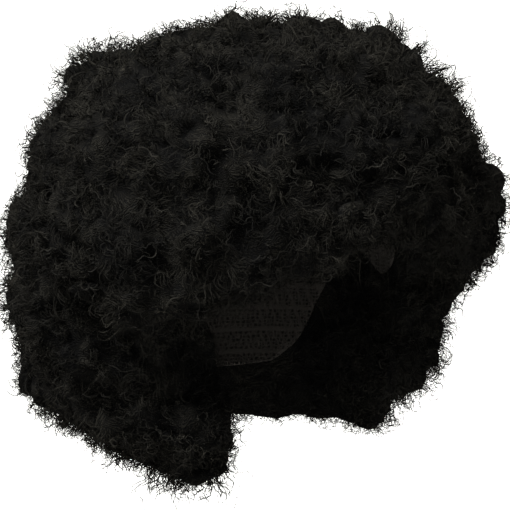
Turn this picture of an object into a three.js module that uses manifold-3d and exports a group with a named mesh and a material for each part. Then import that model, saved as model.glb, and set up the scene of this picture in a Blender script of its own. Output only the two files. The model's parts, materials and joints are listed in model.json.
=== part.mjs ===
// A worn afro wig: a thin head-shaped cap that carries rows of curled weft, and shorter locks round the face.
// Millimetres, +Z up. The wearer faces -Y, so +X is the wearer's left.
// The origin is the point inside the top of the cap that rests on the crown of the head.
import * as THREE from 'three';
import { mergeVertices } from 'three/addons/utils/BufferGeometryUtils.js';
import Module from 'manifold-3d';

const wasm = await Module();
wasm.setup();

// Head that the cap fits: two half ellipsoids that meet at the head's widest level
const HEAD_HALF_WIDTH = 76;
const HEAD_HALF_LENGTH = 96;
const CROWN_HEIGHT = 96; // from the widest level up to the crown
const NAPE_DEPTH = 125; // from the widest level down to the lower half's end, so the nape draws in
const NECK_HALF_WIDTH = 70;
const NECK_HALF_LENGTH = 82;

// Cap
const CAP_WALL = 1.6;
const CAP_SIDES = 24;
const CAP_LEVELS = 12;

// Hair's outline, an oval turned about the Z axis
const HAIR_HALF_WIDTH = 150;
const HAIR_ABOVE_CROWN = 57;
const HAIR_BELOW_CROWN = 213;
const HAIR_CENTRE_DROP = 80; // below the crown, the widest level, where all the wefts point away from
const UPPER_FULLNESS = 2.42; // exponent of the oval: 2 is an ellipse, and more is squarer
const LOWER_FULLNESS = 3.1;

// Wefts and their locks
const WEFT_ROWS = 7; // below the crown
const LOWEST_ROW_EDGE = 151; // degrees from straight up
const LOCK_RADIUS = 34;
const LOCK_SPACING = 53;
const LOCK_UNEVENNESS = 5; // how far some locks stand back from the outline
const MASS_BELOW_TIPS = 26; // the felted hair that the locks grow from

// Fringe round the face
const FRINGE_DEPTH = 32;
const FRINGE_LOCK_RADIUS = 22;
const FRINGE_SPACING = 37;
const FRINGE_INSET = 12; // from the outline and the skin to the nearest tips
const BROW_TURN = 70; // degrees from the middle of the face to the last lock over the brow
const CHEEK_LEVELS = 3; // locks one above the other beside the cheek
const CHEEK_LANES = [0, 0.5, 1]; // shares of the way from the skin to the outline

// Clearances
const CAP_TO_HAIR_GAP = 0.5;
const WEFT_GAP = 0.6;

// Facets
const LOCK_SIDES = 6;
const MASS_SIDES = 16;
const ROW_SIDES = 16;

// The cap's edge seen from the side, from the forehead over the ear to the nape.
// Forward is a share of HEAD_HALF_LENGTH, and drop is a share of CROWN_HEIGHT below the crown.
const CAP_EDGE = [
  { place: 'forehead', forward: 1.1, drop: 0.52 },
  { place: 'hairline', forward: 0.86, drop: 0.54 },
  { place: 'temple', forward: 0.62, drop: 0.8 },
  { place: 'ear tab front', forward: 0.44, drop: 1.04 },
  { place: 'ear tab back', forward: 0.28, drop: 1.08 },
  { place: 'over the ear', forward: 0.04, drop: 0.96 },
  { place: 'behind the ear', forward: -0.24, drop: 1.22 },
  { place: 'nape side', forward: -0.46, drop: 1.66 },
  { place: 'nape', forward: -1.1, drop: 1.72 },
];

// The hair's lower edge seen from the front, from the middle of the forehead outwards.
// Sideways is a share of HAIR_HALF_WIDTH, and drop is a share of HAIR_BELOW_CROWN below the crown.
const BROW_EDGE = [
  { place: 'mid forehead', sideways: 0, drop: 0.355 },
  { place: 'forehead', sideways: 0.17, drop: 0.395 },
  { place: 'brow end', sideways: 0.3, drop: 0.44 },
  { place: 'temple', sideways: 0.46, drop: 0.465 },
  { place: 'outline', sideways: 1.2, drop: 0.49 },
];
const BROW_SLOPE = 0.35; // rise of the lower edge for each millimetre forward
const BROW_LEVEL_AT = 0.8; // share of HEAD_HALF_LENGTH forward where it has the drops above

// The hair's front edge seen from above, where it is furthest forward, from inside the cheek outwards.
// Sideways is a share of HAIR_HALF_WIDTH, and forward is a share of HEAD_HALF_LENGTH.
const CHEEK_EDGE = [
  { place: 'inside the cheek', sideways: 0.3, forward: 0.6 },
  { place: 'cheek', sideways: 0.45, forward: 0.62 },
  { place: 'front of the side', sideways: 0.67, forward: 0.58 },
  { place: 'side of the hair', sideways: 0.92, forward: 0.12 },
  { place: 'outline', sideways: 1.2, forward: -0.4 },
];
// How far that edge stands back at each height, beside the cheek and at the side of the hair.
// Drop is a share of HAIR_BELOW_CROWN below the crown, and both sizes are shares of HEAD_HALF_LENGTH.
const CHEEK_PROFILE = [
  { place: 'temple', drop: 0.45, inner: 0.14, outer: 0 },
  { place: 'cheek', drop: 0.7, inner: 0, outer: 0 },
  { place: 'jaw', drop: 0.84, inner: 0.13, outer: 0.75 },
  { place: 'lowest locks', drop: 1.05, inner: 0.8, outer: 1.15 },
];

// A lock's rounded head and tapering root, as shares of its radius
const LOCK_PROFILE = [
  { place: 'tip', across: 0, down: 0 },
  { place: 'crown', across: 0.58, down: 0.12 },
  { place: 'shoulder', across: 1, down: 0.5 },
  { place: 'root', across: 0.75, down: 1.5 },
  { place: 'root middle', across: 0, down: 1.5 },
];

const material = {
  net: new THREE.MeshStandardMaterial({ color: 0x1b1815, roughness: 0.85, metalness: 0 }),
  curls: new THREE.MeshStandardMaterial({ color: 0x14110f, roughness: 0.7, metalness: 0 }),
};

// Solids and meshes

function solidOf(geometry) {
  const bare = geometry.clone();
  bare.deleteAttribute('normal');
  bare.deleteAttribute('uv');
  const merged = mergeVertices(bare, 1e-3);
  return new wasm.Manifold(new wasm.Mesh({
    numProp: 3,
    vertProperties: merged.attributes.position.array,
    triVerts: merged.index.array,
  }));
}

function meshOf(name, solid, look) {
  const { vertProperties, triVerts } = solid.getMesh();
  const geometry = new THREE.BufferGeometry();
  geometry.setAttribute('position', new THREE.BufferAttribute(vertProperties, 3));
  geometry.setIndex(new THREE.BufferAttribute(triVerts, 1));
  geometry.computeVertexNormals();
  const mesh = new THREE.Mesh(geometry, look);
  mesh.name = name;
  return mesh;
}

// A profile of [radius, height] pairs, from the bottom up, turned about the Z axis
function turned(profile, sides) {
  const points = profile.map(([radius, height]) => new THREE.Vector2(radius, height));
  return new THREE.LatheGeometry(points, sides).rotateX(Math.PI / 2);
}

// Cap and hollow

// The head's form, larger all round by a clearance
function headForm(clearance) {
  const form = new THREE.SphereGeometry(1, CAP_SIDES, CAP_LEVELS).rotateX(Math.PI / 2);
  const at = form.attributes.position;
  for (let i = 0; i < at.count; i++) {
    const height = at.getZ(i) > 0 ? CROWN_HEIGHT : NAPE_DEPTH;
    at.setXYZ(
      i,
      at.getX(i) * (HEAD_HALF_WIDTH + clearance),
      at.getY(i) * (HEAD_HALF_LENGTH + clearance),
      at.getZ(i) * (height + clearance) - CROWN_HEIGHT,
    );
  }
  return solidOf(form);
}

// Everything above the cap's edge
function aboveCapEdge() {
  const beyond = 2 * HEAD_HALF_LENGTH;
  const edge = CAP_EDGE.map(({ forward, drop }) => (
    new THREE.Vector2(-forward * HEAD_HALF_LENGTH, -drop * CROWN_HEIGHT)
  ));
  const outline = new THREE.Shape();
  outline.moveTo(edge[0].x, beyond);
  outline.lineTo(edge[0].x, edge[0].y);
  outline.splineThru(edge.slice(1));
  outline.lineTo(edge.at(-1).x, beyond);
  // The outline's x becomes Y and its y becomes Z
  return solidOf(new THREE.ExtrudeGeometry(outline, { depth: beyond, bevelEnabled: false, curveSegments: 2 })
    .translate(0, 0, -beyond / 2)
    .rotateX(Math.PI / 2)
    .rotateZ(Math.PI / 2));
}

function wigCap() {
  return headForm(CAP_WALL).subtract(headForm(0)).intersect(aboveCapEdge());
}

// What the head, the cap and the neck take up inside the hair
function headHollow() {
  const depth = 2 * HAIR_BELOW_CROWN - CROWN_HEIGHT;
  const neck = new THREE.CylinderGeometry(1, 1, 1, CAP_SIDES)
    .rotateX(Math.PI / 2)
    .scale(NECK_HALF_WIDTH, NECK_HALF_LENGTH, depth)
    .translate(0, 0, -CROWN_HEIGHT - depth / 2);
  return headForm(CAP_WALL + CAP_TO_HAIR_GAP).add(solidOf(neck));
}

// Hair's outline

// How far the outline is from the hair's centre, at a turn in radians from straight up
function reachAt(turn) {
  const above = turn < Math.PI / 2;
  const height = above ? HAIR_ABOVE_CROWN + HAIR_CENTRE_DROP : HAIR_BELOW_CROWN - HAIR_CENTRE_DROP;
  const fullness = above ? UPPER_FULLNESS : LOWER_FULLNESS;
  const across = Math.abs(Math.sin(turn)) / HAIR_HALF_WIDTH;
  const along = Math.abs(Math.cos(turn)) / height;
  return (across ** fullness + along ** fullness) ** (-1 / fullness);
}

// The outline's radius at a height
function radiusAt(height) {
  const rise = height + HAIR_CENTRE_DROP;
  const end = rise > 0 ? HAIR_ABOVE_CROWN + HAIR_CENTRE_DROP : HAIR_BELOW_CROWN - HAIR_CENTRE_DROP;
  const fullness = rise > 0 ? UPPER_FULLNESS : LOWER_FULLNESS;
  return HAIR_HALF_WIDTH * (1 - Math.abs(rise / end) ** fullness) ** (1 / fullness);
}

// The felted hair that holds the locks
function hairMass() {
  const steps = 12;
  const profile = [];
  for (let i = 0; i <= steps; i++) {
    const turn = Math.PI * (1 - i / steps);
    const reach = reachAt(turn) - MASS_BELOW_TIPS;
    const radius = i % steps ? reach * Math.sin(turn) : 0;
    profile.push([radius, reach * Math.cos(turn) - HAIR_CENTRE_DROP]);
  }
  return solidOf(turned(profile, MASS_SIDES));
}

// Locks

// A share from 0 to 1 that looks uneven from one lock to the next
function uneven(index) {
  return (index * (Math.sqrt(5) - 1) / 2) % 1;
}

// A lock whose tip is at a point and whose root lies the other way from a direction
function lock(tip, outward, radius, index) {
  const profile = LOCK_PROFILE.map(({ across, down }) => [across * radius, -down * radius]).reverse();
  const lean = new THREE.Quaternion().setFromUnitVectors(new THREE.Vector3(0, 0, 1), outward);
  return solidOf(turned(profile, LOCK_SIDES)
    .rotateZ(2 * Math.PI * uneven(index))
    .applyQuaternion(lean)
    .translate(tip.x, tip.y, tip.z));
}

// Face opening

// What a table says in one column where another has a value, between its rows and level past its ends
function lookUp(table, key, value, column) {
  const held = THREE.MathUtils.clamp(value, table[0][key], table.at(-1)[key]);
  const next = Math.max(1, table.findIndex((row) => row[key] >= held));
  const [before, after] = [table[next - 1], table[next]];
  return THREE.MathUtils.mapLinear(held, before[key], after[key], before[column], after[column]);
}

// What a table of an edge says at a distance from the middle
function onEdge(edge, distance, column) {
  return lookUp(edge, 'sideways', Math.abs(distance) / HAIR_HALF_WIDTH, column);
}

function mirroredAcrossX(points) {
  const left = points.filter((p) => p.x > 0).map((p) => new THREE.Vector2(-p.x, p.y)).reverse();
  return [...left, ...points];
}

function browEdge(raised) {
  return mirroredAcrossX(BROW_EDGE.map(({ sideways, drop }) => (
    new THREE.Vector2(sideways * HAIR_HALF_WIDTH, -drop * HAIR_BELOW_CROWN + raised)
  )));
}

function cheekEdge(setBack) {
  return mirroredAcrossX(CHEEK_EDGE.map(({ sideways, forward }) => (
    new THREE.Vector2(sideways * HAIR_HALF_WIDTH, -forward * HEAD_HALF_LENGTH + setBack)
  )));
}

// How far the brow edge rises at a distance forward
function browRise(forward) {
  return BROW_SLOPE * (forward - BROW_LEVEL_AT * HEAD_HALF_LENGTH);
}

// How far the cheek edge stands back at a height and a distance from the middle
function cheekBack(height, distance) {
  const drop = -height / HAIR_BELOW_CROWN;
  const inner = lookUp(CHEEK_PROFILE, 'drop', drop, 'inner');
  const outer = lookUp(CHEEK_PROFILE, 'drop', drop, 'outer');
  const outwards = THREE.MathUtils.smoothstep(Math.abs(distance), HEAD_HALF_WIDTH, HAIR_HALF_WIDTH);
  return THREE.MathUtils.lerp(inner, outer, outwards) * HEAD_HALF_LENGTH;
}

// The room under the brow edge and in front of the cheek edge, its edges moved into the hair by a depth
function faceOpening(depth) {
  const beyond = 2 * HAIR_HALF_WIDTH;
  const below = 2 * HAIR_BELOW_CROWN;
  const brow = browEdge(depth);
  const underBrow = new THREE.Shape([
    ...brow,
    new THREE.Vector2(brow.at(-1).x, -below),
    new THREE.Vector2(brow[0].x, -below),
  ]);
  const cheek = cheekEdge(depth);
  const beforeCheek = new THREE.Shape([
    ...cheek,
    new THREE.Vector2(cheek.at(-1).x, -beyond),
    new THREE.Vector2(cheek[0].x, -beyond),
  ]);
  const levels = [beyond, ...CHEEK_PROFILE.map(({ drop }) => -drop * HAIR_BELOW_CROWN), -below].reverse();
  const steps = levels.length - 1;
  const tall = new THREE.ExtrudeGeometry(beforeCheek, { bevelEnabled: false, depth: steps, steps });
  const at = tall.attributes.position;
  for (let i = 0; i < at.count; i++) {
    const height = levels[Math.round(at.getZ(i))];
    at.setXYZ(i, at.getX(i), at.getY(i) + cheekBack(height, at.getX(i)), height);
  }
  const rise = new THREE.Matrix4().makeShear(0, 0, 0, -BROW_SLOPE, 0, 0);
  const deep = new THREE.ExtrudeGeometry(underBrow, { bevelEnabled: false, depth: 2 * beyond })
    .rotateX(Math.PI / 2)
    .translate(0, beyond, 0)
    .applyMatrix4(rise)
    .translate(0, 0, browRise(0));
  return solidOf(tall).intersect(solidOf(deep));
}

// Weft rows

// The space between two cones about the hair's centre, less half a gap at each
function rowSpace(from, to) {
  const near = HEAD_HALF_WIDTH / 2;
  const far = 2 * HAIR_BELOW_CROWN;
  const onCone = (turn, reach, shift) => (
    [reach * Math.sin(turn), reach * Math.cos(turn) - HAIR_CENTRE_DROP + shift]
  );
  const lower = WEFT_GAP / 2 / Math.sin(to);
  const outer = [onCone(to, far, lower), onCone((from + to) / 2, far, 0)];
  if (from === 0) {
    const profile = [[0, lower - HAIR_CENTRE_DROP], ...outer, [0, far]];
    return solidOf(turned(profile, ROW_SIDES));
  }
  const upper = -WEFT_GAP / 2 / Math.sin(from);
  const start = onCone(to, near, lower);
  const profile = [start, ...outer, onCone(from, far, upper), onCone(from, near, upper), start];
  return solidOf(turned(profile, ROW_SIDES));
}

function rowLocks(turn, row) {
  const around = 2 * Math.PI * reachAt(turn) * Math.sin(turn);
  const count = Math.max(1, Math.round(around / LOCK_SPACING));
  return Array.from({ length: count }, (_, i) => {
    const index = row * 37 + i;
    const azimuth = 2 * Math.PI * (i + (row % 2) / 2) / count;
    const outward = new THREE.Vector3(
      Math.sin(turn) * Math.cos(azimuth),
      Math.sin(turn) * Math.sin(azimuth),
      Math.cos(turn),
    );
    const tip = outward.clone().multiplyScalar(reachAt(turn) - LOCK_UNEVENNESS * uneven(2 * index));
    tip.z -= HAIR_CENTRE_DROP;
    return lock(tip, outward, LOCK_RADIUS, index);
  });
}

function weftRow(row, mass, hollow, opening) {
  const step = THREE.MathUtils.degToRad(LOWEST_ROW_EDGE) / (WEFT_ROWS + 0.5);
  return wasm.Manifold.union([mass, ...rowLocks(row * step, row)])
    .intersect(rowSpace(Math.max(0, (row - 0.5) * step), (row + 0.5) * step))
    .subtract(hollow)
    .subtract(opening);
}

// Fringe

// Locks under the brow edge, in one lane at the skin and one at the outline
function browLocks() {
  const { degToRad, lerp } = THREE.MathUtils;
  return [0, 1].flatMap((lane) => {
    const reach = lerp(HEAD_HALF_LENGTH, HAIR_HALF_WIDTH, lane);
    const count = Math.round(2 * degToRad(BROW_TURN) * reach / FRINGE_SPACING);
    return Array.from({ length: count + 1 }, (_, i) => {
      const turn = degToRad(lerp(-BROW_TURN, BROW_TURN, i / count));
      const sine = Math.sin(turn);
      const cosine = Math.cos(turn);
      const skin = Math.hypot(sine / HEAD_HALF_WIDTH, cosine / HEAD_HALF_LENGTH) ** -1;
      const radius = lerp(skin + FRINGE_INSET, HAIR_HALF_WIDTH - FRINGE_INSET, lane);
      const height = browRise(radius * cosine) - onEdge(BROW_EDGE, radius * sine, 'drop') * HAIR_BELOW_CROWN;
      const tip = new THREE.Vector3(radius * sine, -radius * cosine, height);
      const outward = new THREE.Vector3(sine * lane, -cosine * lane, -1).normalize();
      return lock(tip, outward, FRINGE_LOCK_RADIUS, 19 * lane + i);
    });
  });
}

// Locks before the cheek edge on one side, in lanes from the skin to the outline
function cheekLocks(side) {
  const top = browEdge(0).at(-1).y;
  return CHEEK_LANES.flatMap((lane, row) => Array.from({ length: CHEEK_LEVELS }, (_, i) => {
    const height = THREE.MathUtils.lerp(top, -HAIR_BELOW_CROWN, (i + 0.65) / (CHEEK_LEVELS + 0.3));
    const skin = HEAD_HALF_WIDTH + FRINGE_INSET / 2;
    const sideways = THREE.MathUtils.lerp(skin, radiusAt(height) - FRINGE_INSET, lane);
    const forward = onEdge(CHEEK_EDGE, sideways, 'forward') * HEAD_HALF_LENGTH;
    const outward = new THREE.Vector3(side * lane, -1, 0).normalize();
    const tip = new THREE.Vector3(side * sideways, cheekBack(height, sideways) - forward, height);
    return lock(tip, outward, FRINGE_LOCK_RADIUS, 23 * row + 5 * side + i + 50);
  }));
}

function faceFringe(mass, hollow) {
  const backing = mass.subtract(faceOpening(FRINGE_LOCK_RADIUS / 2));
  const locks = [...browLocks(), ...cheekLocks(-1), ...cheekLocks(1)];
  return wasm.Manifold.union([backing, ...locks])
    .intersect(faceOpening(FRINGE_DEPTH - WEFT_GAP))
    .intersect(rowSpace(0, THREE.MathUtils.degToRad(LOWEST_ROW_EDGE)))
    .subtract(hollow);
}

// Assembly

const mass = hairMass();
const hollow = headHollow();
const opening = faceOpening(FRINGE_DEPTH);

const wig = new THREE.Group();
wig.add(meshOf('wig_cap', wigCap(), material.net));
wig.add(meshOf('crown_weft', weftRow(0, mass, hollow, opening), material.curls));
for (let row = 1; row <= WEFT_ROWS; row++) {
  wig.add(meshOf(`weft_row_${row}`, weftRow(row, mass, hollow, opening), material.curls));
}
wig.add(meshOf('face_fringe', faceFringe(mass, hollow), material.curls));

export default wig;
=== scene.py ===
# An afro wig, shown as it is worn, with nothing inside it.
# Metres, +Z up, the open front towards -Y, and the origin inside the top of the cap.
import json
import math

import bmesh
import bpy
import numpy as np
from mathutils import Matrix, Vector, noise
from mathutils.bvhtree import BVHTree
from mathutils.kdtree import KDTree

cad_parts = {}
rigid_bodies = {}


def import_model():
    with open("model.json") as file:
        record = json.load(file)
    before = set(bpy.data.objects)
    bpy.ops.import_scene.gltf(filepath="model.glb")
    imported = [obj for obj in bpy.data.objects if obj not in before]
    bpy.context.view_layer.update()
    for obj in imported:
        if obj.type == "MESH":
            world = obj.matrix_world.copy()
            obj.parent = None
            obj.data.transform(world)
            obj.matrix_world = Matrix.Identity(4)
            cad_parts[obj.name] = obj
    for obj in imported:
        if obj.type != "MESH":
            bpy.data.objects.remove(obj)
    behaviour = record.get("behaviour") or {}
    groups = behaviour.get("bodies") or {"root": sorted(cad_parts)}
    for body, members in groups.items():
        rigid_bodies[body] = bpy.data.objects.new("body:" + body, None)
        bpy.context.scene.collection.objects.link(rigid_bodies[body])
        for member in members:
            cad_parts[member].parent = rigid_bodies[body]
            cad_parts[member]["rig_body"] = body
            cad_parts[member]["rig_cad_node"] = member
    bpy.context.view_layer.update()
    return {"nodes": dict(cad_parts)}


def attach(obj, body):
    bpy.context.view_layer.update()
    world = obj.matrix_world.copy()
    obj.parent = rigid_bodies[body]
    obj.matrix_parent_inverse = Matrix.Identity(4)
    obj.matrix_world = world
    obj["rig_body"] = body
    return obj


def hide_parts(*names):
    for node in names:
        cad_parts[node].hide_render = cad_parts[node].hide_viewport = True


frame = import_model()


# Camera
# A long lens from the wearer's right, a little above the middle of the wig, which nearly fills the frame.
view_azimuth = math.radians(-40)
view_elevation = math.radians(8)
view_roll = math.radians(3)
view_distance = 1.5
frame_width = 0.2965  # at the middle of the wig
hollow_middle = Vector((0, 0, -0.096))  # of the hollow that the cap lines, and about the middle of the wig
aim_right = 0.0006
aim_up = 0.0100

towards_camera = Vector((
    math.sin(view_azimuth) * math.cos(view_elevation),
    -math.cos(view_azimuth) * math.cos(view_elevation),
    math.sin(view_elevation),
))
camera_turn = (-towards_camera).to_track_quat("-Z", "Y").to_matrix() @ Matrix.Rotation(-view_roll, 3, "Z")
aim = hollow_middle + camera_turn @ Vector((aim_right, aim_up, 0))
bpy.ops.object.camera_add(location=aim + towards_camera * view_distance, rotation=camera_turn.to_euler())
camera = bpy.context.object
camera.name = "camera"
camera.data.sensor_width = 36
camera.data.lens = 36 * view_distance / frame_width
camera.data.clip_start = 0.1
camera.data.clip_end = 60
bpy.context.scene.camera = camera


# Studio
# A round cove of matt white: a floor as far below the wig as a standing wearer's feet, curving up into a
# wall. It is lit by a white dome, a large soft box high on the camera's left and a weak one behind, on the
# right.
def linear(hex_colour):
    """Turns an sRGB hex colour into the linear values that sockets take."""
    parts = [int(hex_colour[i : i + 2], 16) / 255 for i in (0, 2, 4)]
    return tuple(p / 12.92 if p <= 0.04045 else ((p + 0.055) / 1.055) ** 2.4 for p in parts) + (1,)


def node(material, kind, settings=None, *in_order, **by_name):
    """Adds a node with its settings, and gives its sockets, in order or by name, a value or an output."""
    made = material.node_tree.nodes.new(kind)
    for name, value in (settings or {}).items():
        setattr(made, name, value)
    sockets = list(zip(made.inputs, in_order))
    sockets += [(made.inputs[name.replace("_", " ")], value) for name, value in by_name.items()]
    for socket, value in sockets:
        if isinstance(value, bpy.types.NodeSocket):
            material.node_tree.links.new(value, socket)
        else:
            socket.default_value = value
    return made


floor_height = -1.75
floor_disc = 0.5  # the radius of the disc that the cove is drawn out from
cove_radius = 6.0
cove_bend = 1.5
cove_height = 5.0
bpy.ops.object.select_all(action="DESELECT")
bpy.ops.mesh.primitive_circle_add(
    vertices=96, radius=floor_disc, fill_type="TRIFAN", location=(0, 0, floor_height)
)
cove = bpy.context.object
cove.name = "studio_cove"
bpy.ops.object.transform_apply(location=True)
bpy.ops.object.mode_set(mode="EDIT")
bpy.ops.mesh.select_all(action="DESELECT")
bpy.ops.object.mode_set(mode="OBJECT")
for edge in cove.data.edges:
    ends = [cove.data.vertices[i].co.xy.length for i in edge.vertices]
    edge.select = min(ends) > floor_disc / 2
bpy.ops.object.mode_set(mode="EDIT")
cove_steps = [(cove_radius - cove_bend, 0.0)]
for degrees in range(15, 91, 15):
    outwards = cove_radius - cove_bend * (1 - math.sin(math.radians(degrees)))
    cove_steps.append((outwards, cove_bend * (1 - math.cos(math.radians(degrees)))))
cove_steps.append((cove_radius, cove_height))
radius, height = floor_disc, 0.0
for next_radius, next_height in cove_steps:
    growth = next_radius / radius
    bpy.ops.mesh.extrude_edges_move()
    bpy.ops.transform.resize(value=(growth, growth, 1), center_override=(0, 0, 0))
    bpy.ops.transform.translate(value=(0, 0, next_height - height))
    radius, height = next_radius, next_height
bpy.ops.mesh.select_all(action="SELECT")
bpy.ops.mesh.normals_make_consistent(inside=True)
bpy.ops.object.mode_set(mode="OBJECT")
bpy.ops.object.shade_smooth()
cove_paint = bpy.data.materials.new("matt_white_studio_paint")
cove_paint.use_nodes = True
cove_paint.node_tree.nodes["Principled BSDF"].inputs["Base Color"].default_value = linear("F4F4F2")
cove_paint.node_tree.nodes["Principled BSDF"].inputs["Roughness"].default_value = 0.9
cove.data.materials.append(cove_paint)

world = bpy.data.worlds.new("studio_dome")
world.use_nodes = True
world.node_tree.nodes["Background"].inputs["Color"].default_value = linear("FFFFFF")
world.node_tree.nodes["Background"].inputs["Strength"].default_value = 0.55
bpy.context.scene.world = world
bpy.context.scene.view_settings.view_transform = "Standard"


def soft_box(name, azimuth, elevation, distance, size, power):
    """Adds a square area light that faces the wig, at an azimuth counted from the open front."""
    a, e = math.radians(azimuth), math.radians(elevation)
    back = Vector((math.sin(a) * math.cos(e), -math.cos(a) * math.cos(e), math.sin(e)))
    turn = (-back).to_track_quat("-Z", "Y").to_euler()
    bpy.ops.object.light_add(type="AREA", location=hollow_middle + back * distance, rotation=turn)
    light = bpy.context.object
    light.name = name
    light.data.size = size
    light.data.energy = power


soft_box("key_soft_box", azimuth=-90, elevation=64, distance=2.6, size=1.4, power=620)
soft_box("rim_soft_box", azimuth=105, elevation=15, distance=3.0, size=1.2, power=220)


# Felted base of the hair
# The dense inner hair of kinked modacrylic fibre, where the curls lock together and no light comes through.
# It has the form of the weft rows and the fringe, which are sewn to the cap, joined into one mass with small
# round tufts all over it.
hair_nodes = sorted(name for name in frame["nodes"] if name != "wig_cap")
hollow_half_width = 0.076  # the hollow's form above its middle is half an egg, and below it a deeper one
hollow_half_length = 0.096
hollow_mean_radius = 0.085
crown_height = 0.096
nape_depth = 0.125
foot_half_size = np.array((0.0700, 0.0820))  # of the narrower foot of the hollow, inside the lower hair
foot_mean_radius = 0.076
cleft_bridge = 0.005  # the copies grow by this, which closes the clefts between locks, and then shrink back
voxel = 0.0035
base_inset = 0.0034  # room left for the loose curls
inset_waviness = 0.0030
wave_length = 0.040
still_layer = 0.004  # hair as near the hollow as this stays where it is
freer_layer = 0.010  # and over this much more depth it is more and more free to move
hem_top = -0.150
hem_blend = 0.030
hem_inset = 0.0030  # more room at the hem, where the curls hang longer
gather_height = -0.188  # below this the hair is gathered up
gather_share = 0.65
near_lobe_forward = 0.033
near_lobe_blend = np.array((0.060, 0.045))  # how far to the side and how far down the lobe is all forward
swells_and_dents = (  # place, how far out, and half width
    ((-0.096, 0.080, -0.015), -0.012, 0.026),
    ((-0.071, 0.060, 0.024), 0.009, 0.030),
    ((-0.038, 0.032, 0.046), -0.004, 0.022),
    ((0.047, -0.039, 0.050), 0.007, 0.025),
    ((0.083, -0.070, 0.018), 0.012, 0.027),
    ((0.099, -0.083, -0.048), 0.006, 0.035),
    ((0.100, -0.056, -0.138), 0.018, 0.035),
    ((-0.108, 0.091, -0.147), 0.006, 0.032),
    ((-0.075, 0.060, -0.190), 0.012, 0.035),
    ((-0.088, -0.072, -0.172), 0.012, 0.026),
)
loose_places = ((0.095, -0.060, -0.140), (-0.071, 0.060, 0.024), (0.083, -0.070, 0.018))
loose_width = 0.038
loose_inset = 0.0055  # in those places the base lies deeper, and longer, finer curls fill the room over it
hollow_clearance = 0.0030  # from the hollow's form to the hair's inner side


def copy_of(name, growth):
    """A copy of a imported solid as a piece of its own, with its corners merged, that grows outwards."""
    copy = frame["nodes"][name].copy()
    copy.data = copy.data.copy()
    copy.parent = None
    bpy.context.scene.collection.objects.link(copy)
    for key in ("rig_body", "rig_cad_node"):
        del copy[key]
    mesh = bmesh.new()
    mesh.from_mesh(copy.data)
    bmesh.ops.remove_doubles(mesh, verts=mesh.verts, dist=1e-6)
    mesh.normal_update()
    for vertex in mesh.verts:
        vertex.co += vertex.normal * growth
    mesh.to_mesh(copy.data)
    mesh.free()
    return copy


bpy.ops.object.select_all(action="DESELECT")
copies = [copy_of(name, cleft_bridge) for name in hair_nodes]
for copy in copies:
    copy.select_set(True)
bpy.context.view_layer.objects.active = copies[0]
bpy.ops.object.join()
base = bpy.context.object
base.name = "felted_base"
base.data.materials.clear()


def voxel_remesh(piece, size, smoothing):
    """Makes a piece one closed mesh of even faces, and smooths it."""
    bpy.ops.object.modifier_add(type="REMESH")
    piece.modifiers[-1].mode = "VOXEL"
    piece.modifiers[-1].voxel_size = size
    bpy.ops.object.modifier_apply(modifier=piece.modifiers[-1].name)
    bpy.ops.object.modifier_add(type="SMOOTH")
    piece.modifiers[-1].factor = 0.5
    piece.modifiers[-1].iterations = smoothing
    bpy.ops.object.modifier_apply(modifier=piece.modifiers[-1].name)


def places_of(mesh):
    """A mesh's vertex places as an array of rows."""
    places = np.empty(len(mesh.vertices) * 3)
    mesh.vertices.foreach_get("co", places)
    return places.reshape(-1, 3)


def normals_of(mesh):
    """A mesh's vertex normals as an array of rows."""
    normals = np.empty(len(mesh.vertices) * 3)
    mesh.vertices.foreach_get("normal", normals)
    return normals.reshape(-1, 3)


def put_places(mesh, places):
    """Moves a mesh's vertices to new places."""
    mesh.vertices.foreach_set("co", places.ravel())
    mesh.update()


def hollow_share(points, clearance):
    """How far points are from the hollow's middle, where 1 is the hollow's form grown by a clearance."""
    from_middle = points - np.array(hollow_middle)
    half = np.empty_like(from_middle)
    half[:, 0] = hollow_half_width
    half[:, 1] = hollow_half_length
    half[:, 2] = np.where(from_middle[:, 2] > 0, crown_height, nape_depth)
    return np.linalg.norm(from_middle / (half + clearance), axis=1)


def above_hollow(points):
    """Roughly how far points are outside the hollow and its narrower foot, in metres."""
    off_hollow = (hollow_share(points, 0) - 1) * hollow_mean_radius
    off_foot = (np.linalg.norm(points[:, :2] / foot_half_size, axis=1) - 1) * foot_mean_radius
    return np.where(points[:, 2] < hollow_middle.z, np.minimum(off_hollow, off_foot), off_hollow)


def clear_of_hollow(points, clearance):
    """Moves points that are inside the hollow or its foot out to a clearance."""
    share = hollow_share(points, clearance)
    middle = np.array(hollow_middle)
    points = np.where((share < 1)[:, None], middle + (points - middle) / share[:, None], points)
    foot_share = np.linalg.norm(points[:, :2] / (foot_half_size + clearance), axis=1)
    inside_foot = (foot_share < 1) & (points[:, 2] < hollow_middle.z)
    points[inside_foot, :2] /= foot_share[inside_foot, None]
    return points


voxel_remesh(base, voxel, smoothing=3)
put_places(base.data, places_of(base.data) - normals_of(base.data) * cleft_bridge)
voxel_remesh(base, voxel, smoothing=4)
places = places_of(base.data)
waves = np.array([noise.noise(Vector(p) / wave_length) for p in places])
looseness = np.clip((above_hollow(places) - still_layer) / freer_layer, 0, 1)
at_hem = np.clip((hem_top - places[:, 2]) / hem_blend, 0, 1)
inset = (base_inset + inset_waviness * waves + hem_inset * at_hem) * looseness
places -= normals_of(base.data) * inset[:, None]

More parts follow.
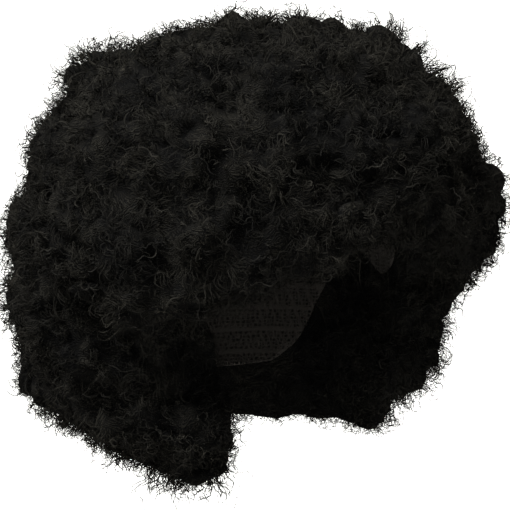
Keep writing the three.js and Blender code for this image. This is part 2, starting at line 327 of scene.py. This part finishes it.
# The hair isn't even: the front lobe on the wearer's right is pushed forwards, both lobes are gathered up at
# the hem, and it swells and dents a little here and there.
near_side = np.clip(-places[:, 0] / near_lobe_blend[0], 0, 1)
near_lobe = np.clip((hem_top - places[:, 2]) / near_lobe_blend[1], 0, 1) * near_side
places[:, 1] -= near_lobe_forward * near_lobe
gathered = gather_height + (places[:, 2] - gather_height) * gather_share
places[:, 2] = np.where(places[:, 2] < gather_height, gathered, places[:, 2])
for middle, reach, half_width in swells_and_dents:
    near = np.exp(-((np.linalg.norm(places - np.array(middle), axis=1) / half_width) ** 2))
    places += normals_of(base.data) * (reach * near * looseness)[:, None]
put_places(base.data, places)

rng = np.random.default_rng(7)


def scatter(mesh, weigh, count):
    """Random points on a mesh, as likely as their triangles' areas times a weight, and the normals there."""
    mesh.calc_loop_triangles()
    triangles = np.empty(len(mesh.loop_triangles) * 3, int)
    mesh.loop_triangles.foreach_get("vertices", triangles)
    triangles = triangles.reshape(-1, 3)
    places = places_of(mesh)
    normals = normals_of(mesh)
    corners = places[triangles]
    sides = corners[:, 1:] - corners[:, :1]
    areas = np.linalg.norm(np.cross(sides[:, 0], sides[:, 1]), axis=1) / 2
    share = areas * weigh(corners.mean(1), normals[triangles].mean(1))
    chosen = rng.choice(len(share), count, p=share / share.sum())
    a, b = rng.random((2, count))
    folded = a + b > 1
    a[folded], b[folded] = 1 - a[folded], 1 - b[folded]
    weights = np.stack([1 - a - b, a, b], 1)[:, :, None]
    points = (places[triangles[chosen]] * weights).sum(1)
    outward = (normals[triangles[chosen]] * weights).sum(1)
    return points, outward / np.linalg.norm(outward, axis=1)[:, None]


def tree_of(name):
    """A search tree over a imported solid's faces."""
    solid = frame["nodes"][name].data
    return BVHTree.FromPolygons([v.co for v in solid.vertices], [tuple(p.vertices) for p in solid.polygons])


cap_touch = 0.006  # hair this near the cap has no room for curls
cap_tree = tree_of("wig_cap")


def how_loose(points):
    """Up to 1 in the places where the hair is open enough for light to show through, and 0 elsewhere."""
    share = np.zeros(len(points))
    for middle in loose_places:
        away = np.linalg.norm(points - np.array(middle), axis=1)
        share = np.maximum(share, np.exp(-((away / loose_width) ** 2)))
    return share


def off_the_cap(points, normals):
    """1 where there is room for curls, and 0 where the hair lies against the cap."""
    return np.array([1.0 * (cap_tree.find_nearest(Vector(p), cap_touch)[0] is None) for p in points])


tuft_tries = 9000
tuft_spacing = 0.0200
nearest_tufts = (0.62, 1.0)  # how near two tufts may be, as shares of the spacing
tuft_height = 0.0048
crease_width = 0.8
lumpiness = 0.0030  # the lumps that curls make on and across the tufts
lump_width = 0.0130
small_lump_width = 0.006
small_lump_share = 0.45
flat_layer = 0.005  # hair as near the hollow as this has no tufts
fuller_layer = 0.012  # and over this much more depth they get their full height
small_clump = 0.019
broad_clump = 0.034
dip_depth = 0.0030  # the base is this much lower between clumps of tufts
tufts = []
cells = {}
for point in scatter(base.data, off_the_cap, tuft_tries)[0]:
    cell = tuple(np.floor(point / tuft_spacing).astype(int))
    near = [
        other
        for dx in (-1, 0, 1)
        for dy in (-1, 0, 1)
        for dz in (-1, 0, 1)
        for other in cells.get((cell[0] + dx, cell[1] + dy, cell[2] + dz), ())
    ]
    if all(np.linalg.norm(point - other) > tuft_spacing * rng.uniform(*nearest_tufts) for other in near):
        cells.setdefault(cell, []).append(point)
        tufts.append(point)
tuft_tree = KDTree(len(tufts))
for i, point in enumerate(tufts):
    tuft_tree.insert(point, i)
tuft_tree.balance()

# Some tufts are airy, a low base under long, open curls, so that light shows through them.
airy_share = 0.13
airy_share_where_loose = 0.30
airy_fullness = -0.5
airy_reach = 1.8
reach_where_loose = 0.5
full_range = (0.45, 1.35)
reach_range = (0.75, 1.25)
loose_tufts = how_loose(np.array(tufts))
airy = rng.random(len(tufts)) < airy_share + airy_share_where_loose * loose_tufts
tuft_fullness = np.where(airy, airy_fullness, rng.uniform(*full_range, len(tufts)))
tuft_reach = np.where(airy, airy_reach, rng.uniform(*reach_range, len(tufts)))
tuft_reach *= 1 + reach_where_loose * loose_tufts


def tuft_depth(points):
    """How near points are to the middles of their tufts, from 0 in a crease to 1, and which tufts."""
    depth = np.empty(len(points))
    own = np.empty(len(points), int)
    for i, point in enumerate(points):
        (_, own[i], first), (_, _, second) = tuft_tree.find_n(point, 2)
        depth[i] = min(1, (second - first) / (crease_width * tuft_spacing))
    return depth, own


def clumps(points):
    """1 over most of the hair, falling to 0 in the irregular dips between clumps of tufts, which lie lower
    and get painted shade.
    """
    small = np.array([noise.noise(Vector(p) / small_clump) for p in points])
    broad = np.array([noise.noise(Vector(p) / broad_clump) for p in points])
    return np.clip(0.60 + 1.2 * small + 1.1 * broad, 0, 1)


places = places_of(base.data)
depth, own_tuft = tuft_depth(places)
fullness = tuft_fullness[own_tuft]
room = np.clip((above_hollow(places) - flat_layer) / fuller_layer, 0, 1)
lumps = np.array([
    noise.noise(Vector(p) / lump_width) + small_lump_share * noise.noise(Vector(p) / small_lump_width)
    for p in places
])
clumped = clumps(places)
domes = tuft_height * (fullness * (1 - (1 - depth) ** 2) - 0.5)
domes = domes + lumpiness * lumps - dip_depth * (1 - clumped)
domes = (domes - loose_inset * how_loose(places)) * room
put_places(base.data, clear_of_hollow(places + normals_of(base.data) * domes[:, None], hollow_clearance))
bpy.ops.object.shade_smooth()
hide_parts(*hair_nodes)
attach(base, "root")

# Kinked modacrylic: a dull plastic fibre dyed black, drawn as short curved lines painted grey as a highlight
# where fibres would catch the light, and painted shade makes it near black in the creases and dips. The real
# fibres lie 0.1 mm apart, and the lines are drawn 1.2 mm apart so that they show, in arcs round the middles
# of curls about 9 mm apart.
line_pitch = 0.0012
line_waver = 0.0045
line_break = 0.0026
curl_width = 0.009
curl_offset = 0.012  # how far the arcs' middle may lie from the curl that they fill
# Painted shade: the base colour is darker in the tufts' creases and in the dips between clumps.
painted_shade_factor = base.data.attributes.new("painted_shade_factor", "FLOAT", "POINT")
painted_shade_factor.data.foreach_set("value", (0.25 + 0.75 * depth) * (0.35 + 0.65 * clumped))
base_hair = bpy.data.materials.new("felted_kinked_modacrylic")
base_hair.use_nodes = True
shader = base_hair.node_tree.nodes["Principled BSDF"]
shader.inputs["Roughness"].default_value = 0.8
shader.inputs["Specular IOR Level"].default_value = 0.0
place = node(base_hair, "ShaderNodeTexCoord")
waver = node(base_hair, "ShaderNodeTexNoise", Vector=place.outputs["Object"], Scale=1 / 0.004, Detail=2.0)
warped = node(
    base_hair, "ShaderNodeVectorMath", {"operation": "MULTIPLY_ADD"},
    waver.outputs["Color"], (line_waver,) * 3, place.outputs["Object"],
)
curls = node(base_hair, "ShaderNodeTexVoronoi", Vector=warped.outputs["Vector"], Scale=1 / curl_width)
curl_middle = node(
    base_hair, "ShaderNodeVectorMath", {"operation": "MULTIPLY_ADD"},
    curls.outputs["Color"], (curl_offset,) * 3, curls.outputs["Position"],
)
reach = node(
    base_hair, "ShaderNodeVectorMath", {"operation": "DISTANCE"},
    warped.outputs["Vector"], curl_middle.outputs["Vector"],
)
turns = node(
    base_hair, "ShaderNodeMath", {"operation": "MULTIPLY"}, reach.outputs["Value"], 2 * math.pi / line_pitch
)
wave = node(base_hair, "ShaderNodeMath", {"operation": "SINE"}, turns.outputs["Value"])
lines = node(base_hair, "ShaderNodeMapRange", Value=wave.outputs["Value"], From_Min=-1.0)
breaks = node(
    base_hair, "ShaderNodeTexNoise",
    Vector=place.outputs["Object"], Scale=1 / line_break, Detail=3.0, Roughness=0.6,
)
strokes = node(
    base_hair, "ShaderNodeMath", {"operation": "MULTIPLY"}, lines.outputs["Result"], breaks.outputs["Fac"]
)
# The painted shade from the creases and dips darkens the grey strokes.
painted_shade = node(base_hair, "ShaderNodeAttribute", {"attribute_name": "painted_shade_factor"})
strokes_with_painted_shade = node(
    base_hair, "ShaderNodeMath", {"operation": "MULTIPLY"},
    strokes.outputs["Value"], painted_shade.outputs["Fac"],
)
tones = node(base_hair, "ShaderNodeValToRGB", Fac=strokes_with_painted_shade.outputs["Value"])
tones.color_ramp.elements[0].position = 0.05
tones.color_ramp.elements[0].color = linear("040404")
tones.color_ramp.elements[1].position = 0.6
tones.color_ramp.elements[1].color = linear("151411")
relief = node(base_hair, "ShaderNodeBump", Strength=0.9, Distance=0.0010, Height=strokes.outputs["Value"])
base_hair.node_tree.links.new(tones.outputs["Color"], shader.inputs["Base Color"])
base_hair.node_tree.links.new(relief.outputs["Normal"], shader.inputs["Normal"])
base.data.materials.append(base_hair)


# Curled locks
# The outer hair: slim locks of waved fibres that lie side by side, set by steam. Each lock rises from the
# base, bends over along its tuft's dome and ends in the open, so the rim is a dark line with light under it.
curl_locks = 6200
fibres_a_lock = 6
lock_rings = 9
kink = 0.00012
tip_thinning = 0.65
full_length_depth = 0.016  # hair thinner than this has shorter curls
shortest_share = 0.55
# What grow() draws for a curl: how far it rises and runs, in metres, how far it bends over, in radians, its
# parting away from the middle of its tuft, the radius and the turns of its coil, how far a lock's fibres
# spread, how wide a fibre is, and how flat it lies.
lock_ranges = dict(
    rise=(0.0026, 0.0078), run=(0.0040, 0.0085), bend=(1.5, 2.3), parting=0.2,
    coil=(0.0008, 0.0019), turns=(0.6, 1.2), spread=0.0014, thickness=(0.00028, 0.00046), flatness=1.5,
)


def ribbons(spine, facing, half):
    """Flat strips along spines, a half width to each side, that face a given way."""
    heading = np.gradient(spine, axis=1)
    heading /= np.linalg.norm(heading, axis=2)[:, :, None]
    flat = np.cross(heading, facing)
    flat /= np.linalg.norm(flat, axis=2)[:, :, None]
    return np.stack([spine - flat * half, spine + flat * half], 2)


def grow(roots, outward, ranges, fibres, rings):
    """Waved fibres, in locks with a shared path, that rise from roots and bend away from their tufts."""
    count = len(roots)
    nearest = np.array([tuft_tree.find(point)[0] for point in roots])
    away = roots - nearest
    away -= outward * (away * outward).sum(1)[:, None]
    away *= ranges["parting"] / (0.5 * tuft_spacing)
    any_way = rng.normal(size=(count, 3))
    any_way -= outward * (any_way * outward).sum(1)[:, None]
    any_way /= np.linalg.norm(any_way, axis=1)[:, None]
    sideways = away + any_way
    sideways /= np.linalg.norm(sideways, axis=1)[:, None]
    across = np.cross(outward, sideways)
    room = np.clip(above_hollow(roots) / full_length_depth, shortest_share, 1)
    room = (room * tuft_reach[tuft_depth(roots)[1]])[:, None, None]

    def pick(name):
        return rng.uniform(*ranges[name], count)[:, None, None]

    rise = pick("rise") * room
    run = pick("run")
    coil = pick("coil")
    turns = pick("turns") * rng.choice((-1, 1), count)[:, None, None]
    start = rng.uniform(0, 2 * math.pi, count)[:, None, None]
    along = np.linspace(0, 1, rings)[None, :, None]
    bend = along * pick("bend")
    up = outward[:, None, :]
    out = sideways[:, None, :]
    middle = roots[:, None, :] + up * rise * np.sin(bend) + out * run * (1 - np.cos(bend))
    forward = up * rise * np.cos(bend) + out * run * np.sin(bend)
    forward /= np.linalg.norm(forward, axis=2)[:, :, None]
    side = across[:, None, :] * np.ones_like(forward)
    over = np.cross(side, forward)
    strips = []
    for _ in range(fibres):
        angle = start + 2 * math.pi * turns * along + rng.normal(scale=0.35, size=(count, 1, 1))
        wide = coil * rng.uniform(0.8, 1.25, (count, 1, 1)) * (0.4 + 0.6 * np.minimum(1, 2.5 * along))
        shift = rng.normal(scale=ranges["spread"], size=(count, 2, 1, 1)) * (0.7 + 0.8 * along[None])
        length = rng.uniform(0.8, 1.0, (count, 1, 1))
        spine = middle + (wide * np.cos(angle) + shift[:, 0]) * over
        spine = spine + (wide * np.sin(angle) + shift[:, 1]) * side
        spine = roots[:, None, :] + (spine - roots[:, None, :]) * length
        spine += rng.normal(scale=kink, size=spine.shape)
        facing = up * ranges["flatness"] + rng.normal(size=(count, 1, 3))
        half = rng.uniform(*ranges["thickness"], (count, 1, 1)) / 2 * (1.0 - tip_thinning * along**2)
        strips.append(ribbons(spine, facing, half))
    return np.stack(strips, 1)


node_trees = {name: tree_of(name) for name in hair_nodes}


def owners(roots):
    """The weft row or fringe that each root belongs to."""
    return np.array([
        min(hair_nodes, key=lambda name: node_trees[name].find_nearest(Vector(root))[3]) for root in roots
    ])


# Steam-set modacrylic: the same black fibre, smooth on its sides, so single curls catch a thin grey glint.
# The map runs along each fibre, and across the map lies its bundle's tone: a random dyed tone, which for the
# locks is darkened by painted shade in the tufts' creases and the dips between clumps.
curl_fibre = bpy.data.materials.new("steam_set_modacrylic")
curl_fibre.use_nodes = True
shader = curl_fibre.node_tree.nodes["Principled BSDF"]
shader.inputs["Roughness"].default_value = 0.45
shader.inputs["Specular IOR Level"].default_value = 0.0
place = node(curl_fibre, "ShaderNodeUVMap", {"uv_map": "OFBake"})
split = node(curl_fibre, "ShaderNodeSeparateXYZ", Vector=place.outputs["UV"])
tones = node(curl_fibre, "ShaderNodeValToRGB", Fac=split.outputs["Y"])
tones.color_ramp.elements[0].color = linear("050505")
tones.color_ramp.elements[1].color = linear("171613")
curl_fibre.node_tree.links.new(tones.outputs["Color"], shader.inputs["Base Color"])


def fibre_mesh(name, strips, tones):
    """One mesh of strips, from an array of strips, rings, sides and coordinates, and each strip's tone."""
    count, steps, sides, _ = strips.shape
    index = np.arange(count * steps * sides).reshape(count, steps, sides)
    near, far = index[:, :-1], index[:, 1:]
    faces = np.stack([near[:, :, 0], near[:, :, 1], far[:, :, 1], far[:, :, 0]], -1).reshape(-1, 4)
    mesh = bpy.data.meshes.new(name)
    mesh.vertices.add(index.size)
    mesh.vertices.foreach_set("co", strips.reshape(-1))
    mesh.loops.add(faces.size)
    mesh.loops.foreach_set("vertex_index", faces.ravel())
    mesh.polygons.add(len(faces))
    mesh.polygons.foreach_set("loop_start", np.arange(0, faces.size, 4))
    mesh.polygons.foreach_set("loop_total", np.full(len(faces), 4))
    mesh.polygons.foreach_set("use_smooth", np.ones(len(faces), bool))
    mesh.update(calc_edges=True)
    u = np.broadcast_to(np.linspace(0.02, 0.98, steps)[None, :, None], index.shape)
    v = tones[:, None, None] * 0.9 + 0.02 + 0.06 * np.arange(sides)[None, None, :]
    uv = np.stack([u, np.broadcast_to(v, index.shape)], -1).reshape(-1, 2)
    layer = mesh.uv_layers.new(name="OFBake")
    layer.data.foreach_set("uv", uv[faces.ravel()].ravel())
    return mesh


def add_fibres(name, node_name, strips, tones):
    """Adds a piece made of fibres, on the row or fringe that it grows from."""
    piece = bpy.data.objects.new(name, fibre_mesh(name, strips, tones))
    bpy.context.scene.collection.objects.link(piece)
    piece.data.materials.append(curl_fibre)
    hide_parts(node_name)
    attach(piece, "root")


roots, outward = scatter(base.data, off_the_cap, curl_locks)
strips = grow(roots, outward, lock_ranges, fibres_a_lock, lock_rings)
dye_and_painted_shade = 0.4 + rng.random((curl_locks, 1)) * 0.25 + rng.random((curl_locks, fibres_a_lock)) * 0.35
# Painted shade: locks rooted in creases and in the dips between clumps get darker tones.
dye_and_painted_shade *= ((0.5 + 0.5 * tuft_depth(roots)[0]) * (0.3 + 0.7 * clumps(roots)))[:, None]
owner = owners(roots)
for name in hair_nodes:
    mine = owner == name
    add_fibres(f"{name}_locks", name, strips[mine].reshape(-1, lock_rings, 2, 3), dye_and_painted_shade[mine].ravel())


def add_single_curls(kind, where, count, ranges, rings, brightest):
    """Adds single curls all over a weighted part of the hair, as a piece for each row that has some."""
    roots, outward = scatter(base.data, where, count)
    strips = grow(roots, outward, ranges, 1, rings)[:, 0]
    tones = rng.random(count) * brightest
    owner = owners(roots)
    for name in hair_nodes:
        mine = owner == name
        if mine.any():
            add_fibres(f"{name}_{kind}", name, strips[mine], tones[mine])


# Open curls
# Single springy curls just above the locks. Against the light they draw the beaded dark line along the edge
# of the hair, with light in the holes under them.
open_curls = 3600
open_curl_rings = 19
open_curl_ranges = dict(
    rise=(0.0054, 0.0074), run=(0.0080, 0.0130), bend=(1.8, 2.3), parting=0.2,
    coil=(0.0008, 0.0015), turns=(1.6, 3.0), spread=0.0001, thickness=(0.00050, 0.00080), flatness=0.0,
)
add_single_curls("open_curls", off_the_cap, open_curls, open_curl_ranges, open_curl_rings, brightest=0.5)


# Flyaways
# Fine single fibres that have worked loose from the locks and stand out past them, the faint edge of the
# hair against the light.
flyaways = 3600
flyaway_rings = 11
flyaway_ranges = dict(
    rise=(0.0040, 0.0090), run=(0.0030, 0.0080), bend=(1.7, 2.7), parting=0.3,
    coil=(0.0008, 0.0022), turns=(0.9, 2.0), spread=0.0003, thickness=(0.00010, 0.00018), flatness=0.0,
)


def mostly_where_loose(points, normals):
    """A weight for flyaways, which are thickest where the hair is loose."""
    return off_the_cap(points, normals) * (1 + 7 * how_loose(points))


add_single_curls("flyaways", mostly_where_loose, flyaways, flyaway_ranges, flyaway_rings, brightest=1)


# Hem curls and face wisps
# Longer, thinner curls hang open along the lower edge and down both sides of the open front, where the hair
# thins out, and fine hairs hang out of the fringe over the opening.
face_wisps = 300
wisp_rings = 20
wisp_length = (0.008, 0.024)
wisp_swing = (0.0012, 0.0034)
wisp_swings = (0.5, 1.8)
wisp_half_width = (0.00006, 0.00013)
front_middle = np.array((0, -0.118, -0.125))
fringe_touch = 0.009
fringe_back = -0.045


def facing_the_opening(points, normals):
    """How squarely normals face the middle of the open front, from -1 to 1."""
    towards = front_middle - points
    towards /= np.linalg.norm(towards, axis=1)[:, None]
    return (normals * towards).sum(1)


def round_the_opening(points, normals):
    """1 on the edge of the hair round the open front, and 0 elsewhere."""
    fringe = node_trees["face_fringe"]
    near_fringe = np.array([fringe.find_nearest(Vector(p), fringe_touch)[0] is not None for p in points])
    in_front = points[:, 1] < fringe_back
    return 1.0 * (near_fringe & in_front & (facing_the_opening(points, normals) > 0.35))


hem_curls = 2300
hem_curl_rings = 19
hem_curl_top = -0.155
hem_curl_ranges = dict(
    rise=(0.0060, 0.0140), run=(0.0040, 0.0100), bend=(1.2, 2.3), parting=0.0,
    coil=(0.0013, 0.0026), turns=(1.1, 2.3), spread=0.0001, thickness=(0.00034, 0.00056), flatness=0.0,
)


def along_the_hem(points, normals):
    """1 on the underside of the hair and on the lower front edges, and 0 elsewhere."""
    low = np.clip((hem_curl_top - points[:, 2]) / hem_blend, 0, 1)
    under = normals[:, 2] < -0.35
    front_edge = (points[:, 1] < 0) & (facing_the_opening(points, normals) > 0.1)
    return low * (under | front_edge)


add_single_curls("hem_curls", along_the_hem, hem_curls, hem_curl_ranges, hem_curl_rings, brightest=1)

roots, outward = scatter(base.data, round_the_opening, face_wisps)
length = rng.uniform(*wisp_length, face_wisps)[:, None, None]
along = np.linspace(0, 1, wisp_rings)[None, :, None]
lean = outward + rng.normal(scale=0.45, size=outward.shape)
lean /= np.linalg.norm(lean, axis=1)[:, None]
droop = np.array((0, 0, -1)) * rng.uniform(0.3, 1.1, (face_wisps, 1))
path = lean[:, None, :] * along + droop[:, None, :] * along**2
sideways = np.cross(lean, rng.normal(size=lean.shape))
sideways /= np.linalg.norm(sideways, axis=1)[:, None]
phase = rng.uniform(0, 2 * math.pi, (face_wisps, 1, 1))
swing = rng.uniform(*wisp_swing, (face_wisps, 1, 1)) * along
swing = swing * np.sin(phase + along * 2 * math.pi * rng.uniform(*wisp_swings, (face_wisps, 1, 1)))
spine = roots[:, None, :] + path * length + sideways[:, None, :] * swing
facing = rng.normal(size=(face_wisps, 1, 3))
half = rng.uniform(*wisp_half_width, (face_wisps, 1, 1)) * (1.0 - 0.6 * along)
add_fibres("face_wisps", "face_fringe", ribbons(spine, facing, half), rng.random(face_wisps))


# Stretch cap
# The cap that the wefts are sewn to: black elastic net, cut as one shell that grips from the brow to the
# nape, with a tab in front of each ear. Rows of stitching hold the wefts on.
cap_wall = 0.0016
stretch_cap = copy_of("wig_cap", 0)
stretch_cap.name = "stretch_cap"
on_the_outside = hollow_share(places_of(stretch_cap.data), 0) > 1 + cap_wall / 2 / crown_height
wall = stretch_cap.data.attributes.new("wall", "FLOAT", "POINT")
wall.data.foreach_set("value", on_the_outside.astype(float))
bpy.ops.object.select_all(action="DESELECT")
stretch_cap.select_set(True)
bpy.context.view_layer.objects.active = stretch_cap
bpy.ops.object.modifier_add(type="SUBSURF")
stretch_cap.modifiers[-1].levels = 2
stretch_cap.modifiers[-1].render_levels = 2
bpy.ops.object.modifier_apply(modifier=stretch_cap.modifiers[-1].name)
places = places_of(stretch_cap.data)
outwards = np.empty(len(places))
stretch_cap.data.attributes["wall"].data.foreach_get("value", outwards)
share = hollow_share(places, (outwards * cap_wall)[:, None])
middle = np.array(hollow_middle)
put_places(stretch_cap.data, middle + (places - middle) / share[:, None])
bpy.ops.object.shade_smooth_by_angle(angle=math.radians(40))
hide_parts("wig_cap")
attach(stretch_cap, "root")

# Elastic net: knitted nylon and spandex, dull black, with holes about 2 mm across that show darker, and rows
# of zigzag stitching 13 mm apart where the wefts are sewn on.
net_hole = 0.0022
weft_pitch = 0.013
stitch_middle = 0.0008  # full stitching as near a row's line as this
stitch_edge = 0.0014  # and none past this
net = bpy.data.materials.new("knitted_elastic_net")
net.use_nodes = True
shader = net.node_tree.nodes["Principled BSDF"]
shader.inputs["Roughness"].default_value = 0.7
shader.inputs["Specular IOR Level"].default_value = 0.02
place = node(net, "ShaderNodeTexCoord")
holes = node(
    net, "ShaderNodeTexVoronoi", {"feature": "DISTANCE_TO_EDGE"},
    Vector=place.outputs["Object"], Scale=1 / net_hole, Randomness=0.35,
)
threads = node(net, "ShaderNodeMapRange", Value=holes.outputs["Distance"], From_Min=0.28, From_Max=0.10)
split = node(net, "ShaderNodeSeparateXYZ", Vector=place.outputs["Object"])
rows = node(net, "ShaderNodeMath", {"operation": "PINGPONG"}, split.outputs["Z"], weft_pitch / 2)
stitched = node(
    net, "ShaderNodeMapRange", Value=rows.outputs["Value"], From_Min=stitch_edge, From_Max=stitch_middle
)
covered = node(
    net, "ShaderNodeMath", {"operation": "MAXIMUM"}, threads.outputs["Result"], stitched.outputs["Result"]
)
tones = node(net, "ShaderNodeValToRGB", Fac=covered.outputs["Value"])
tones.color_ramp.elements[0].color = linear("050504")
tones.color_ramp.elements[1].color = linear("1A1816")
relief = node(net, "ShaderNodeBump", Strength=0.8, Distance=0.0006, Height=covered.outputs["Value"])
net.node_tree.links.new(tones.outputs["Color"], shader.inputs["Base Color"])
net.node_tree.links.new(relief.outputs["Normal"], shader.inputs["Normal"])
stretch_cap.data.materials.clear()
stretch_cap.data.materials.append(net)
